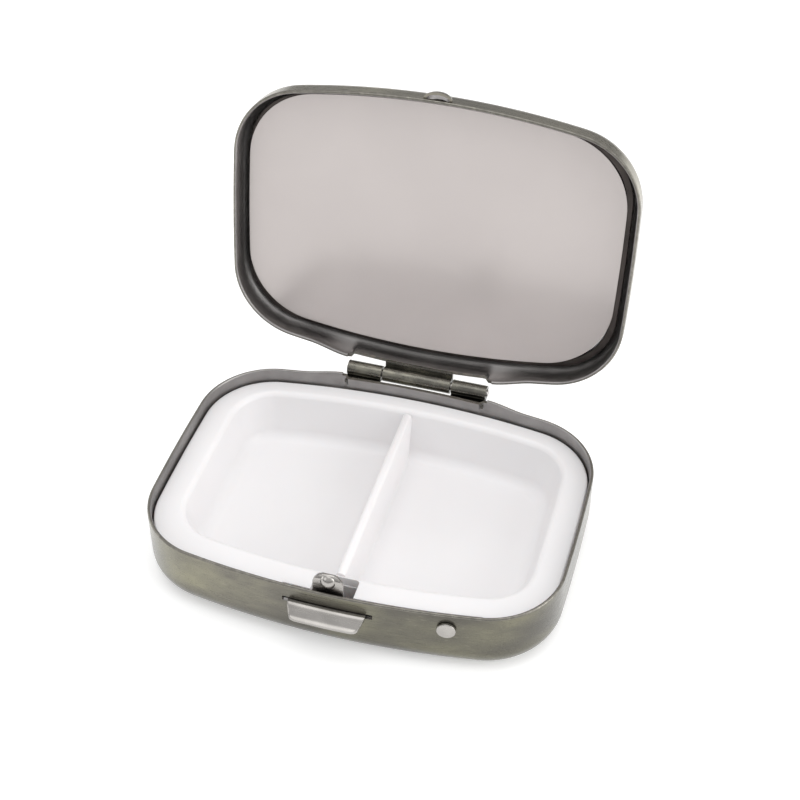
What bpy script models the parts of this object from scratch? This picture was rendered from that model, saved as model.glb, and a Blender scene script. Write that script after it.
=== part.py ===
"""Two-compartment metal pill box, lid open on its hinge.

Frame: origin at the middle of the underside, +X to the right, +Y towards the hinge, +Z up.
Everything that belongs to the lid is drawn as if the lid were shut and hangs from an empty
on the hinge axis, which swings it open.
"""
import math

import bmesh
import bpy
from mathutils import Matrix, Vector
from mathutils.geometry import intersect_sphere_sphere_2d

MM = 0.001

# Plan outline shared by the base, the lid, the tray and the mirror: four flat arcs and four corners.
HALF_WIDTH = 27.5 * MM
HALF_DEPTH = 19.85 * MM
LONG_SIDE_RADIUS = 116 * MM
SHORT_SIDE_RADIUS = 306 * MM
CORNER_RADIUS = 10.1 * MM
SHEET = 0.45 * MM
RIM_ROUND = 0.1 * MM

# Base shell.
BASE_HEIGHT = 9.9 * MM
BASE_EDGE_RADIUS = 3.4 * MM

# Hinge along X, just behind the rear wall.
HINGE_Y = 21.36 * MM
HINGE_Z = 9.82 * MM
PIN_RADIUS = 0.5 * MM
KNUCKLE_BORE = 0.6 * MM
KNUCKLE_RADIUS = KNUCKLE_BORE + SHEET
KNUCKLE_GAP = 0.125 * MM
LID_KNUCKLE_HALF = 4.85 * MM
BASE_KNUCKLE_END = 10.0 * MM
PIN_HALF_LENGTH = 10.2 * MM

# The rear walls are cut lower beside the hinge and swell outwards past the cut.
RELIEF_HALF = 10.45 * MM
RELIEF_DEPTH_BASE = 0.3 * MM
RELIEF_DEPTH_LID = 0.35 * MM
EAR_END = 16.2 * MM
EAR_SWELL = 0.7 * MM
EAR_HEIGHT = 3.2 * MM

# Lid shell, shut, its rim just above the base's rim.
LID_RIM_Z = 10.15 * MM
LID_HEIGHT = 4.5 * MM
LID_EDGE_RADIUS = 2.6 * MM
LID_OPEN = math.radians(100)

# Catch pocket pressed out of the lid's front wall.
POCKET_FOOT = 0.45 * MM
POCKET_HALF_WIDTH = 1.9 * MM
POCKET_RISE = 1.7 * MM
POCKET_SWELL = 1.0 * MM
POCKET_SKIN = 0.35 * MM

# Mirror stack in the lid: depths are measured from the lid's rim.
BEZEL_DEPTH = 2.85 * MM
FILM_DEPTH = 2.7 * MM
FILM_THICKNESS = 0.1 * MM
FILM_HALF_WIDTH = 25.8 * MM
FILM_HALF_DEPTH = 18.15 * MM
FILM_CORNER_RADIUS = 10.1 * MM
FILM_SHIFT = (-0.3 * MM, -0.2 * MM)
MIRROR_DEPTH = 3.25 * MM
MIRROR_THICKNESS = 0.4 * MM
MIRROR_INSET = 1.98 * MM
PAD_DEPTH = 3.7 * MM
PAD_THICKNESS = 0.28 * MM
PAD_INSET = 3.4 * MM

# Moulded tray.
TRAY_TOP = 8.0 * MM
TRAY_EDGE = 0.65 * MM
FLANGE_THICKNESS = 0.9 * MM
MOUTH_START = 3.5 * MM
MOUTH_ROUND = 0.9 * MM
MOUTH_SHIFT = 1.1 * MM
TRAY_WALL_FOOT = 5.5 * MM
FOOT_SHIFT = 0.55 * MM
FLOOR_FILLET = 1.8 * MM
TRAY_FLOOR = 1.5 * MM
TRAY_UNDERSIDE = 0.72 * MM
TRAY_WALL = 0.85 * MM
DIVIDER_TOP = 7.7 * MM
DIVIDER_HALF = 0.6 * MM
DIVIDER_HALF_FOOT = 0.8 * MM
NOTCH_HALF = 2.8 * MM
NOTCH_REAR = -14.9 * MM

# Latch spring: a strip behind the front wall, with a tongue, a nub and a thumb tab.
STRIP_GAP = 0.26 * MM
STRIP_SHEET = 0.35 * MM
STRIP_LEFT = -5.2 * MM
STRIP_RIGHT = 17.0 * MM
STRIP_LOW = 6.3 * MM
STRIP_HIGH = 8.7 * MM
TONGUE_HALF = 1.95 * MM
TONGUE_BEND = 11.7 * MM
TONGUE_TOP = 12.3 * MM
TONGUE_LEAN = 0.35 * MM
NUB_Z = 11.35 * MM
NUB_RADIUS = 0.95 * MM
NUB_HEIGHT = 0.51 * MM
SLOT_HALF = 5.8 * MM
SLOT_LOW = 7.05 * MM
SLOT_HIGH = 7.85 * MM
TAB_HALF = 4.95 * MM
TAB_TIP_HALF = 3.6 * MM
TAB_Z = 7.45 * MM
TAB_THICKNESS = 0.4 * MM
TAB_REACH = 2.15 * MM
TAB_DROP = 1.05 * MM

# Rivet that holds the strip's foot.
RIVET_X = 14.9 * MM
RIVET_Z = 7.5 * MM
RIVET_HEAD = 1.2 * MM
RIVET_HEAD_THICKNESS = 0.4 * MM
RIVET_SHANK = 0.6 * MM
RIVET_TAIL = 0.95 * MM
RIVET_TAIL_THICKNESS = 0.35 * MM
RIVET_CLEARANCE = 0.15 * MM

# Steps around the plan outline's quarter.
SHORT_STEPS = 3
CORNER_STEPS = 7
LONG_STATIONS = (16.2, 14.9, 13.7, 12.6, 11.6, 10.8, 10.2, 9.6, 6.4, 3.2)

BRASS = ("antique_brass", (0.30, 0.27, 0.19), 0.34, 1.0)
STEEL = ("nickel_steel", (0.62, 0.60, 0.58), 0.28, 1.0)
WHITE = ("white_plastic", (0.86, 0.84, 0.85), 0.42, 0.0)
BEZEL = ("dark_bezel", (0.16, 0.14, 0.13), 0.35, 1.0)
MIRROR = ("mirror_glass", (0.75, 0.75, 0.76), 0.05, 1.0)
FILM = ("matte_film", (0.56, 0.51, 0.49), 0.55, 0.0)
CARD = ("grey_card", (0.32, 0.31, 0.30), 0.9, 0.0)


def clear_scene():
    for thing in list(bpy.data.objects):
        bpy.data.objects.remove(thing, do_unlink=True)


def material(spec):
    name, colour, roughness, metallic = spec
    found = bpy.data.materials.get(name)
    if found:
        return found
    made = bpy.data.materials.new(name)
    made.use_nodes = True
    shader = made.node_tree.nodes["Principled BSDF"]
    shader.inputs["Base Color"].default_value = (*colour, 1)
    shader.inputs["Roughness"].default_value = roughness
    shader.inputs["Metallic"].default_value = metallic
    return made


def add_object(name, bm, spec=None, smooth_angle=35):
    """Turn a bmesh into a linked object, faces outwards and smooth where the form is round."""
    bmesh.ops.recalc_face_normals(bm, faces=bm.faces)
    mesh = bpy.data.meshes.new(name)
    bm.to_mesh(mesh)
    bm.free()
    mesh.shade_smooth()
    mesh.set_sharp_from_angle(angle=math.radians(smooth_angle))
    thing = bpy.data.objects.new(name, mesh)
    bpy.context.scene.collection.objects.link(thing)
    if spec:
        mesh.materials.append(material(spec))
    return thing


def boolean(target, tool, operation):
    """Cut or join with the exact solver; the tool stays as a hidden guide."""
    modifier = target.modifiers.new(tool.name, "BOOLEAN")
    modifier.operation = operation
    modifier.solver = "EXACT"
    modifier.object = tool
    tool.hide_render = True
    tool.display_type = "WIRE"
    tool.parent = target.parent


# ---------------------------------------------------------------- outline

def quarter_stations(half_width, half_depth, corner_radius):
    """(centre, radius, angle) for each point from the right end of the X axis to the Y axis."""
    long_centre = Vector((0, half_depth - LONG_SIDE_RADIUS))
    short_centre = Vector((half_width - SHORT_SIDE_RADIUS, 0))
    meeting = intersect_sphere_sphere_2d(
        long_centre, LONG_SIDE_RADIUS - corner_radius,
        short_centre, SHORT_SIDE_RADIUS - corner_radius)
    corner = max(meeting, key=lambda point: point.x + point.y)
    short_angle = math.atan2(corner.y - short_centre.y, corner.x - short_centre.x)
    long_angle = math.atan2(corner.y - long_centre.y, corner.x - long_centre.x)
    stations = []
    for step in range(SHORT_STEPS):
        stations.append((short_centre, SHORT_SIDE_RADIUS, short_angle * step / SHORT_STEPS))
    for step in range(CORNER_STEPS + 1):
        turn = short_angle + (long_angle - short_angle) * step / CORNER_STEPS
        stations.append((corner, corner_radius, turn))
    for x in LONG_STATIONS:
        stations.append((long_centre, LONG_SIDE_RADIUS, math.acos(x * MM / LONG_SIDE_RADIUS)))
    stations.append((long_centre, LONG_SIDE_RADIUS, math.pi / 2))
    return stations


STATIONS = quarter_stations(HALF_WIDTH, HALF_DEPTH, CORNER_RADIUS)
FILM_STATIONS = quarter_stations(FILM_HALF_WIDTH, FILM_HALF_DEPTH, FILM_CORNER_RADIUS)


def outline(inset, stations=STATIONS):
    """Plan outline moved inwards by inset, counter-clockwise from the right end of the X axis."""
    quarter = [
        (centre.x + (radius - inset) * math.cos(turn), centre.y + (radius - inset) * math.sin(turn))
        for centre, radius, turn in stations]
    upper = quarter + [(-x, y) for x, y in reversed(quarter[:-1])]
    return upper + [(-x, -y) for x, y in upper[1:-1]]


def front_wall_y(x, inset=0):
    """Y of the front wall's face, inset from the outside, at a given x."""
    radius = LONG_SIDE_RADIUS - inset
    return LONG_SIDE_RADIUS - HALF_DEPTH - math.sqrt(radius * radius - x * x)


def smooth_step(value):
    value = min(max(value, 0), 1)
    return value * value * (3 - 2 * value)


def ear(x, y, below_rim):
    """Outward swell of a rear wall beside the hinge, at a distance below (or above) the rim."""
    if y < 0:
        return 0
    along = smooth_step((EAR_END - abs(x)) / (EAR_END - RELIEF_HALF))
    inner_end = smooth_step((abs(x) - 0.9 * RELIEF_HALF) / (0.06 * RELIEF_HALF))
    return EAR_SWELL * along * inner_end * smooth_step(1 - below_rim / EAR_HEIGHT)


# ---------------------------------------------------------------- lofts

def loft(rings):
    """Closed skin over rings with the same number of points, capped at both ends."""
    bm = bmesh.new()
    loops = [[bm.verts.new(point) for point in ring] for ring in rings]
    count = len(loops[0])
    for lower, upper in zip(loops, loops[1:]):
        for index in range(count):
            after = (index + 1) % count
            bm.faces.new((lower[index], lower[after], upper[after], upper[index]))
    bm.faces.new(loops[0])
    bm.faces.new(reversed(loops[-1]))
    return bm


def ring_loft(rings):
    """Closed tube over rings: the last ring joins the first."""
    bm = bmesh.new()
    loops = [[bm.verts.new(point) for point in ring] for ring in rings]
    count = len(loops[0])
    for lower, upper in zip(loops, loops[1:] + loops[:1]):
        for index in range(count):
            after = (index + 1) % count
            bm.faces.new((lower[index], lower[after], upper[after], upper[index]))
    return bm


def level_ring(inset, z, shift=0):
    return [(x, y + shift, z) for x, y in outline(inset)]


def plate(name, plan, low, high, spec):
    """Flat plate on a plan, between two levels."""
    return add_object(name, loft([[(x, y, z) for x, y in plan] for z in (low, high)]), spec)


def box(name, low, high):
    """Box between two corners, drawn as a guide for cutting."""
    bm = bmesh.new()
    size = [high[axis] - low[axis] for axis in range(3)]
    centre = [(high[axis] + low[axis]) / 2 for axis in range(3)]
    bmesh.ops.create_cube(bm, size=1, matrix=Matrix.Translation(centre) @ Matrix.Diagonal((*size, 1)))
    return add_object(name, bm)


def pan_profile(height, edge_radius, wall_levels):
    """(inset, distance from the flat face, outside?) from the outer face, over the rim, to the inner."""
    arc = [math.radians(angle) for angle in (90, 67, 45, 22, 0)]
    outer = [(edge_radius * (1 - math.cos(turn)), edge_radius * (1 - math.sin(turn))) for turn in arc]
    outer += [(0, height - level) for level in wall_levels]
    rim = [(RIM_ROUND, height), (SHEET - RIM_ROUND, height)]
    inner_radius = edge_radius - SHEET
    inner = [(SHEET, height - level) for level in reversed(wall_levels)]
    for turn in reversed(arc):
        inset = SHEET + inner_radius * (1 - math.cos(turn))
        inner.append((inset, SHEET + inner_radius * (1 - math.sin(turn))))
    return outer + rim + inner


EAR_LEVELS = [3.2 * MM, 2.2 * MM, 1.4 * MM, 0.7 * MM, RIM_ROUND]


def pan_rings(height, edge_radius, floor_z, direction):
    """Rings of a sheet-metal pan; direction is +1 when its open side is up, -1 when it is down."""
    levels = [level for level in EAR_LEVELS if level < height - edge_radius]
    rings = []
    for inset, rise in pan_profile(height, edge_radius, levels):
        ring = []
        for x, y in outline(inset):
            ring.append((x, y + ear(x, y, height - rise), floor_z + direction * rise))
        rings.append(ring)
    return rings


# ---------------------------------------------------------------- hinge

def knuckle(name, left, right, first_turn, turn_span, strip_side):
    """Strip that leaves the rear wall and curls around the hinge axis.

    first_turn is where the curl starts on the circle, strip_side is -1 when the strip runs under
    the axis and +1 when it runs over it. The strip's root lies inside the sheet at both ends.
    """
    steps = 16
    turns = [first_turn + turn_span * step / steps for step in range(steps + 1)]
    circle = [(math.cos(turn), math.sin(turn)) for turn in turns]
    outer = [(HINGE_Y + KNUCKLE_RADIUS * c, HINGE_Z + KNUCKLE_RADIUS * s) for c, s in circle]
    inner = [(HINGE_Y + KNUCKLE_BORE * c, HINGE_Z + KNUCKLE_BORE * s) for c, s in circle]
    rings = []
    for x in (left, right):
        wall_y = -front_wall_y(x, SHEET / 2)
        profile = [(wall_y, HINGE_Z + strip_side * KNUCKLE_RADIUS)] + outer
        profile += list(reversed(inner)) + [(wall_y, HINGE_Z + strip_side * KNUCKLE_BORE)]
        rings.append([(x, y, z) for y, z in profile])
    return add_object(name, loft(rings))


def base_knuckles():
    start = LID_KNUCKLE_HALF + 2 * KNUCKLE_GAP
    span = math.radians(335)
    left = knuckle("guide_knuckle_left", -BASE_KNUCKLE_END, -start, -math.pi / 2, span, -1)
    right = knuckle("guide_knuckle_right", start, BASE_KNUCKLE_END, -math.pi / 2, span, -1)
    return left, right


def lid_knuckle():
    span = math.radians(-335)
    return knuckle("guide_knuckle_lid", -LID_KNUCKLE_HALF, LID_KNUCKLE_HALF, math.pi / 2, span, 1)


def hinge_pin():
    bm = bmesh.new()
    turn = Matrix.Translation((0, HINGE_Y, HINGE_Z)) @ Matrix.Rotation(math.pi / 2, 4, "Y")
    bmesh.ops.create_cone(bm, cap_ends=True, segments=20, radius1=PIN_RADIUS, radius2=PIN_RADIUS,
                          depth=2 * PIN_HALF_LENGTH, matrix=turn)
    return add_object("hinge_pin", bm, STEEL)


# ---------------------------------------------------------------- base

def base_shell():
    shell = add_object("base_shell", loft(pan_rings(BASE_HEIGHT, BASE_EDGE_RADIUS, 0, 1)), BRASS)
    relief = box("guide_base_relief", (-RELIEF_HALF, 0.8 * HALF_DEPTH, BASE_HEIGHT - RELIEF_DEPTH_BASE),
                 (RELIEF_HALF, 1.1 * HALF_DEPTH, BASE_HEIGHT + MM))
    slot = box("guide_slot", (-SLOT_HALF, -1.1 * HALF_DEPTH, SLOT_LOW),
               (SLOT_HALF, -0.9 * HALF_DEPTH, SLOT_HIGH))
    boolean(shell, relief, "DIFFERENCE")
    boolean(shell, slot, "DIFFERENCE")
    boolean(shell, rivet_cutter("guide_rivet_hole", RIVET_SHANK + RIVET_CLEARANCE), "DIFFERENCE")
    for curl in base_knuckles():
        boolean(shell, curl, "UNION")
    return shell


# ---------------------------------------------------------------- tray

def tray_body():
    """Flange, rounded mouth, sloping walls and floor, and the same again on the underside.

    The mouth and the foot of the walls sit further back than the flange's edge, which leaves the
    flange wider in front.
    """
    quarter = [math.radians(angle) for angle in (0, 30, 60, 90)]
    outer_foot = TRAY_WALL_FOOT - TRAY_WALL
    outer_fillet = FLOOR_FILLET + TRAY_WALL
    flange_under = TRAY_TOP - FLANGE_THICKNESS
    edge = 0.25 * MM
    sections = []
    for turn in quarter:
        sections.append((outer_foot + outer_fillet * (1 - math.sin(turn)),
                         TRAY_UNDERSIDE + outer_fillet * (1 - math.cos(turn)), FOOT_SHIFT))
    sections.append((MOUTH_START + 0.15 * MM, flange_under, MOUTH_SHIFT))
    sections.append((TRAY_EDGE, flange_under, 0))
    sections.append((TRAY_EDGE, TRAY_TOP - edge, 0))
    sections.append((TRAY_EDGE + edge, TRAY_TOP, 0))
    for turn in quarter:
        sections.append((MOUTH_START + MOUTH_ROUND * math.sin(turn),
                         TRAY_TOP - MOUTH_ROUND * (1 - math.cos(turn)), MOUTH_SHIFT))
    for turn in quarter:
        sections.append((TRAY_WALL_FOOT + FLOOR_FILLET * (1 - math.cos(turn)),
                         TRAY_FLOOR + FLOOR_FILLET * (1 - math.sin(turn)), FOOT_SHIFT))
    return loft([level_ring(*section) for section in sections])


def divider():
    """Thin drafted wall on the centre line, its foot in the floor and its ends in the walls."""
    reach_top = HALF_DEPTH - MOUTH_START - 1.1 * MM
    reach_wall = HALF_DEPTH - MOUTH_START - 0.9 * MM
    reach_foot = HALF_DEPTH - TRAY_WALL_FOOT
    # (half thickness, level, reach, shift) from inside the floor to the top edge
    profile = [
        (DIVIDER_HALF_FOOT + 0.45 * MM, (TRAY_FLOOR + TRAY_UNDERSIDE) / 2, reach_foot - 0.95 * MM,
         FOOT_SHIFT),
        (DIVIDER_HALF_FOOT + 0.4 * MM, TRAY_FLOOR, reach_foot - 0.55 * MM, FOOT_SHIFT),
        (DIVIDER_HALF_FOOT, TRAY_FLOOR + 0.5 * MM, reach_foot, FOOT_SHIFT),
        (DIVIDER_HALF + 0.04 * MM, DIVIDER_TOP - 1.1 * MM, reach_wall, 0.94 * MOUTH_SHIFT),
        (DIVIDER_HALF, DIVIDER_TOP - 0.2 * MM, reach_top, MOUTH_SHIFT),
        (DIVIDER_HALF - 0.15 * MM, DIVIDER_TOP, reach_top, MOUTH_SHIFT)]
    rings = []
    for half, z, reach, shift in profile:
        front, rear = shift - reach, shift + reach
        rings.append([(half, front, z), (half, rear, z), (-half, rear, z), (-half, front, z)])
    return add_object("guide_divider", loft(rings))


def front_relief():
    """Cutter that opens the flange in front for the latch strip, following the front wall."""
    inset = 2.0 * MM
    left, right = -6.4 * MM, 18.8 * MM
    stations = [left + (right - left) * step / 12 for step in range(13)]
    plan = [(x, front_wall_y(x, inset)) for x in stations]
    plan += [(x, -1.1 * HALF_DEPTH) for x in (right, left)]
    low = TRAY_TOP - 1.5 * FLANGE_THICKNESS
    rings = [[(x, y, z) for x, y in plan] for z in (low, TRAY_TOP + MM)]
    return add_object("guide_front_relief", loft(rings))


def pill_tray():
    tray = add_object("pill_tray", tray_body(), WHITE)
    boolean(tray, divider(), "UNION")
    boolean(tray, front_relief(), "DIFFERENCE")
    notch = box("guide_notch", (-NOTCH_HALF, -1.1 * HALF_DEPTH, TRAY_TOP - 1.6 * FLANGE_THICKNESS),
                (NOTCH_HALF, NOTCH_REAR, TRAY_TOP + MM))
    boolean(tray, notch, "DIFFERENCE")
    return tray


# ---------------------------------------------------------------- latch

def rivet_frame():
    """Matrix whose Z axis leaves the front wall at the rivet, its origin on the wall's outer face."""
    lean = math.asin(RIVET_X / LONG_SIDE_RADIUS)
    place = Matrix.Translation((RIVET_X, front_wall_y(RIVET_X), RIVET_Z))
    return place @ Matrix.Rotation(lean, 4, "Z") @ Matrix.Rotation(math.pi / 2, 4, "X")


def rivet_cutter(name, radius):
    bm = bmesh.new()
    bmesh.ops.create_cone(bm, cap_ends=True, segments=20, radius1=radius, radius2=radius,
                          depth=4 * MM, matrix=rivet_frame())
    return add_object(name, bm)


def latch_rivet():
    """Flat head outside, shank through the wall and the strip, clenched tail inside."""
    inner = SHEET + STRIP_GAP + STRIP_SHEET + 0.12 * MM
    face = RIVET_HEAD_THICKNESS + 0.08 * MM
    tail = -inner - RIVET_TAIL_THICKNESS
    profile = [(0, face), (RIVET_HEAD - 0.12 * MM, face), (RIVET_HEAD, RIVET_HEAD_THICKNESS),
               (RIVET_HEAD, 0.08 * MM), (RIVET_SHANK, 0.08 * MM), (RIVET_SHANK, -inner),
               (RIVET_TAIL, -inner), (RIVET_TAIL, tail), (0, tail)]
    bm = bmesh.new()
    points = [bm.verts.new((radius, 0, height)) for radius, height in profile]
    edges = [bm.edges.new(pair) for pair in zip(points, points[1:])]
    bmesh.ops.spin(bm, geom=points + edges, cent=(0, 0, 0), axis=(0, 0, 1), angle=2 * math.pi, steps=24)
    bmesh.ops.remove_doubles(bm, verts=bm.verts, dist=1e-6)
    bm.transform(rivet_frame())
    return add_object("latch_rivet", bm, STEEL)


def bent_strip(stations, low, high, inset):
    """Upright strip that follows the front wall from the first x station to the last."""
    plan = [(x, front_wall_y(x, inset)) for x in stations]
    plan += [(x, front_wall_y(x, inset + STRIP_SHEET)) for x in reversed(stations)]
    return loft([[(x, y, z) for x, y in plan] for z in (low, high)])


def latch_tongue(inset):
    """Upright tongue with a rounded top that leans back, and its foot in the strip."""
    front = front_wall_y(0, inset)
    heights = [STRIP_LOW + 0.3 * MM, TONGUE_BEND]
    heights += [TONGUE_BEND + (TONGUE_TOP - TONGUE_BEND) * step / 4 for step in (1, 2, 3, 4)]
    rings = []
    for z in heights:
        rise = max(z - TONGUE_BEND, 0) / (TONGUE_TOP - TONGUE_BEND)
        shoulder = max(z - TONGUE_BEND + 0.9 * MM, 0) / (TONGUE_TOP - TONGUE_BEND + 0.95 * MM)
        half = TONGUE_HALF * math.sqrt(1 - 0.93 * shoulder ** 3)
        y = front + TONGUE_LEAN * rise ** 1.5
        rings.append([(-half, y, z), (half, y, z), (half, y + STRIP_SHEET, z), (-half, y + STRIP_SHEET, z)])
    return add_object("guide_tongue", loft(rings))


def latch_nub(inset):
    """Dimple on the tongue's front: a cap of a sphere."""
    ball = (NUB_RADIUS ** 2 + NUB_HEIGHT ** 2) / (2 * NUB_HEIGHT)
    centre = front_wall_y(0, inset) - NUB_HEIGHT + ball
    bm = bmesh.new()
    place = Matrix.Translation((0, centre, NUB_Z)) @ Matrix.Rotation(math.pi / 2, 4, "X")
    bmesh.ops.create_uvsphere(bm, u_segments=20, v_segments=16, radius=ball, matrix=place)
    behind = front_wall_y(0, inset) + 0.5 * STRIP_SHEET
    cut = bmesh.ops.bisect_plane(bm, geom=bm.verts[:] + bm.edges[:] + bm.faces[:], dist=1e-7,
                                 plane_co=(0, behind, 0), plane_no=(0, 1, 0), clear_outer=True)
    rim = [item for item in cut["geom_cut"] if isinstance(item, bmesh.types.BMEdge)]
    bmesh.ops.contextual_create(bm, geom=rim)
    return add_object("guide_nub", bm)


def thumb_tab(inset):
    """Tab that leaves the strip through the slot, then slopes out and down to a rounded tip."""
    # (distance in front of the wall, drop, half width)
    spine = [(-inset - 0.1 * MM, 0, TAB_HALF), (0.35 * MM, 0, TAB_HALF), (0.75 * MM, 0.1 * MM, TAB_HALF),
             (1.2 * MM, 0.4 * TAB_DROP, 0.97 * TAB_HALF), (1.7 * MM, 0.72 * TAB_DROP, 0.91 * TAB_HALF),
             (1.95 * MM, 0.88 * TAB_DROP, 0.84 * TAB_HALF), (TAB_REACH, TAB_DROP, TAB_TIP_HALF)]
    columns = 10
    rings = []
    for out, drop, half in spine:
        across = [half * (2 * column / columns - 1) for column in range(columns + 1)]
        top = [(x, front_wall_y(x) - out, TAB_Z - drop + TAB_THICKNESS / 2) for x in across]
        under = [(x, y, z - TAB_THICKNESS) for x, y, z in reversed(top)]
        rings.append(top + under)
    return add_object("guide_tab", loft(rings))


def latch_spring():
    inset = SHEET + STRIP_GAP
    stations = [STRIP_LEFT + (STRIP_RIGHT - STRIP_LEFT) * step / 12 for step in range(13)]
    strip = add_object("latch_spring", bent_strip(stations, STRIP_LOW, STRIP_HIGH, inset), STEEL)
    boolean(strip, latch_tongue(inset), "UNION")
    boolean(strip, latch_nub(inset), "UNION")
    boolean(strip, thumb_tab(inset), "UNION")
    boolean(strip, rivet_cutter("guide_strip_hole", RIVET_SHANK + RIVET_CLEARANCE), "DIFFERENCE")
    return strip


# ---------------------------------------------------------------- lid

def half_dome(name, half_width, swell, rise, reach):
    """Half-oval bulge on the lid's front wall with a flat underside.

    It swells outwards from the wall's outer face, and runs straight inwards by reach.
    """
    foot = LID_RIM_Z + POCKET_FOOT
    stations = [(swell * math.sin(turn), math.cos(turn)) for turn in (1.45, 1.15, 0.8, 0.4)]
    rings = []
    for out, scale in stations + [(0, 1), (-reach, 1)]:
        turns = [math.pi * step / 14 for step in range(15)]
        rings.append([
            (half_width * scale * math.cos(turn), -HALF_DEPTH - out, foot + rise * scale * math.sin(turn))
            for turn in turns])
    return add_object(name, loft(rings))


def lid_shell():
    crown_z = LID_RIM_Z + LID_HEIGHT
    shell = add_object("lid_shell", loft(pan_rings(LID_HEIGHT, LID_EDGE_RADIUS, crown_z, -1)), BRASS)
    relief = box("guide_lid_relief", (-RELIEF_HALF, 0.8 * HALF_DEPTH, LID_RIM_Z - MM),
                 (RELIEF_HALF, 1.1 * HALF_DEPTH, LID_RIM_Z + RELIEF_DEPTH_LID))
    boolean(shell, relief, "DIFFERENCE")
    boolean(shell, lid_knuckle(), "UNION")
    pocket = half_dome("guide_pocket", POCKET_HALF_WIDTH, POCKET_SWELL, POCKET_RISE, 0.6 * SHEET)
    boolean(shell, pocket, "UNION")
    hollow = half_dome("guide_pocket_hollow", POCKET_HALF_WIDTH - POCKET_SKIN, POCKET_SWELL - POCKET_SKIN,
                       POCKET_RISE - 0.6 * POCKET_SKIN, 2 * SHEET)
    boolean(shell, hollow, "DIFFERENCE")
    return shell


def lid_bezel():
    """Ring with a flat lip, seated in the lid's inner corner, that holds the mirror's edge."""
    front = LID_RIM_Z + BEZEL_DEPTH
    # (inset, depth behind the lip's face) around the section, in millimetres
    sections = [(1.5, 0.55), (1.35, 0.16), (1.43, 0), (2.1, 0),
                (2.3, 0.12), (2.3, 0.28), (1.85, 0.3), (1.7, 0.55)]
    rings = [level_ring(inset * MM, front + depth * MM) for inset, depth in sections]
    return add_object("lid_bezel", ring_loft(rings), BEZEL)


def lid_pieces():
    film_front = LID_RIM_Z + FILM_DEPTH
    film_plan = [(x + FILM_SHIFT[0], y + FILM_SHIFT[1]) for x, y in outline(0, FILM_STATIONS)]
    film = plate("mirror_film", film_plan, film_front, film_front + FILM_THICKNESS, FILM)
    mirror = LID_RIM_Z + MIRROR_DEPTH
    pad = LID_RIM_Z + PAD_DEPTH
    return [
        lid_shell(),
        lid_bezel(),
        film,
        plate("lid_mirror", outline(MIRROR_INSET), mirror, mirror + MIRROR_THICKNESS, MIRROR),
        plate("mirror_pad", outline(PAD_INSET), pad, pad + PAD_THICKNESS, CARD)]


def hang_on_hinge(pieces):
    """Parent the lid's pieces and guides to an empty on the hinge axis and swing them open."""
    axis = bpy.data.objects.new("lid_axis", None)
    bpy.context.scene.collection.objects.link(axis)
    axis.location = (0, HINGE_Y, HINGE_Z)
    shift = Matrix.Translation((0, -HINGE_Y, -HINGE_Z))
    for piece in pieces:
        guides = [modifier.object for modifier in piece.modifiers]
        for thing in [piece] + guides:
            thing.data.transform(shift)
            thing.parent = axis
    axis.rotation_euler.x = -LID_OPEN


def set_latch_origin(latch):
    """Move the latch's origin, and its guides', to the upright axis through the rivet."""
    place = rivet_frame() @ Vector((0, 0, -SHEET - STRIP_GAP - STRIP_SHEET / 2))
    shift = Matrix.Translation(-place)
    for thing in [latch] + [modifier.object for modifier in latch.modifiers]:
        thing.data.transform(shift)
        thing.location = place


def main():
    clear_scene()
    base_shell()
    pill_tray()
    hinge_pin()
    latch_rivet()
    set_latch_origin(latch_spring())
    hang_on_hinge(lid_pieces())


main()
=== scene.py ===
import math

import bmesh
import bpy
from mathutils import Matrix, Vector
from mathutils.geometry import intersect_sphere_sphere_2d


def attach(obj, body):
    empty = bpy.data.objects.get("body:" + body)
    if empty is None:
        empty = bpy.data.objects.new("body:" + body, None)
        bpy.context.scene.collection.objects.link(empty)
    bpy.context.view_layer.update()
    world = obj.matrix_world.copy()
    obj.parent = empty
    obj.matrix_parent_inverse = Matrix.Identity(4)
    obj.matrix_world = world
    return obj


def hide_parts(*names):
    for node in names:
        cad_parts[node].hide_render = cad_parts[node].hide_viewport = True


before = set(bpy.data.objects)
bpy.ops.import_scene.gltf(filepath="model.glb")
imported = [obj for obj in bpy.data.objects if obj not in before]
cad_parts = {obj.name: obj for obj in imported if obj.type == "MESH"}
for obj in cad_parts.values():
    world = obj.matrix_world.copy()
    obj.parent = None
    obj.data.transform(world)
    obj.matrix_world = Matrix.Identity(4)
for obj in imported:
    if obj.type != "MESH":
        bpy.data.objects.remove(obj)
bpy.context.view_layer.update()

MM = 0.001

# Plan outline: four flat arcs and four corners, shared by the base, the lid and what they hold.
HALF_WIDTH = 27.5 * MM
HALF_DEPTH = 19.85 * MM
LONG_SIDE_RADIUS = 116 * MM
SHORT_SIDE_RADIUS = 306 * MM
CORNER_RADIUS = 10.1 * MM
SHEET = 0.45 * MM
# Cutters end here, clear of the front and rear walls.
BEYOND = 1.1 * HALF_DEPTH

BASE_HEIGHT = 9.9 * MM
BASE_EDGE_RADIUS = 3.4 * MM

HINGE_Y = 21.36 * MM
HINGE_Z = 9.82 * MM
PIN_RADIUS = 0.5 * MM
PIN_HALF_LENGTH = 10.2 * MM
KNUCKLE_BORE = 0.6 * MM
KNUCKLE_RADIUS = KNUCKLE_BORE + SHEET
LID_KNUCKLE_HALF = 4.85 * MM
BASE_KNUCKLE_START = 5.1 * MM
BASE_KNUCKLE_END = 10.0 * MM

RELIEF_HALF = 10.45 * MM
RELIEF_DEPTH_BASE = 0.3 * MM
RELIEF_DEPTH_LID = 0.35 * MM
EAR_END = 16.2 * MM
EAR_SWELL = 0.7 * MM
EAR_HEIGHT = 3.2 * MM

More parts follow.
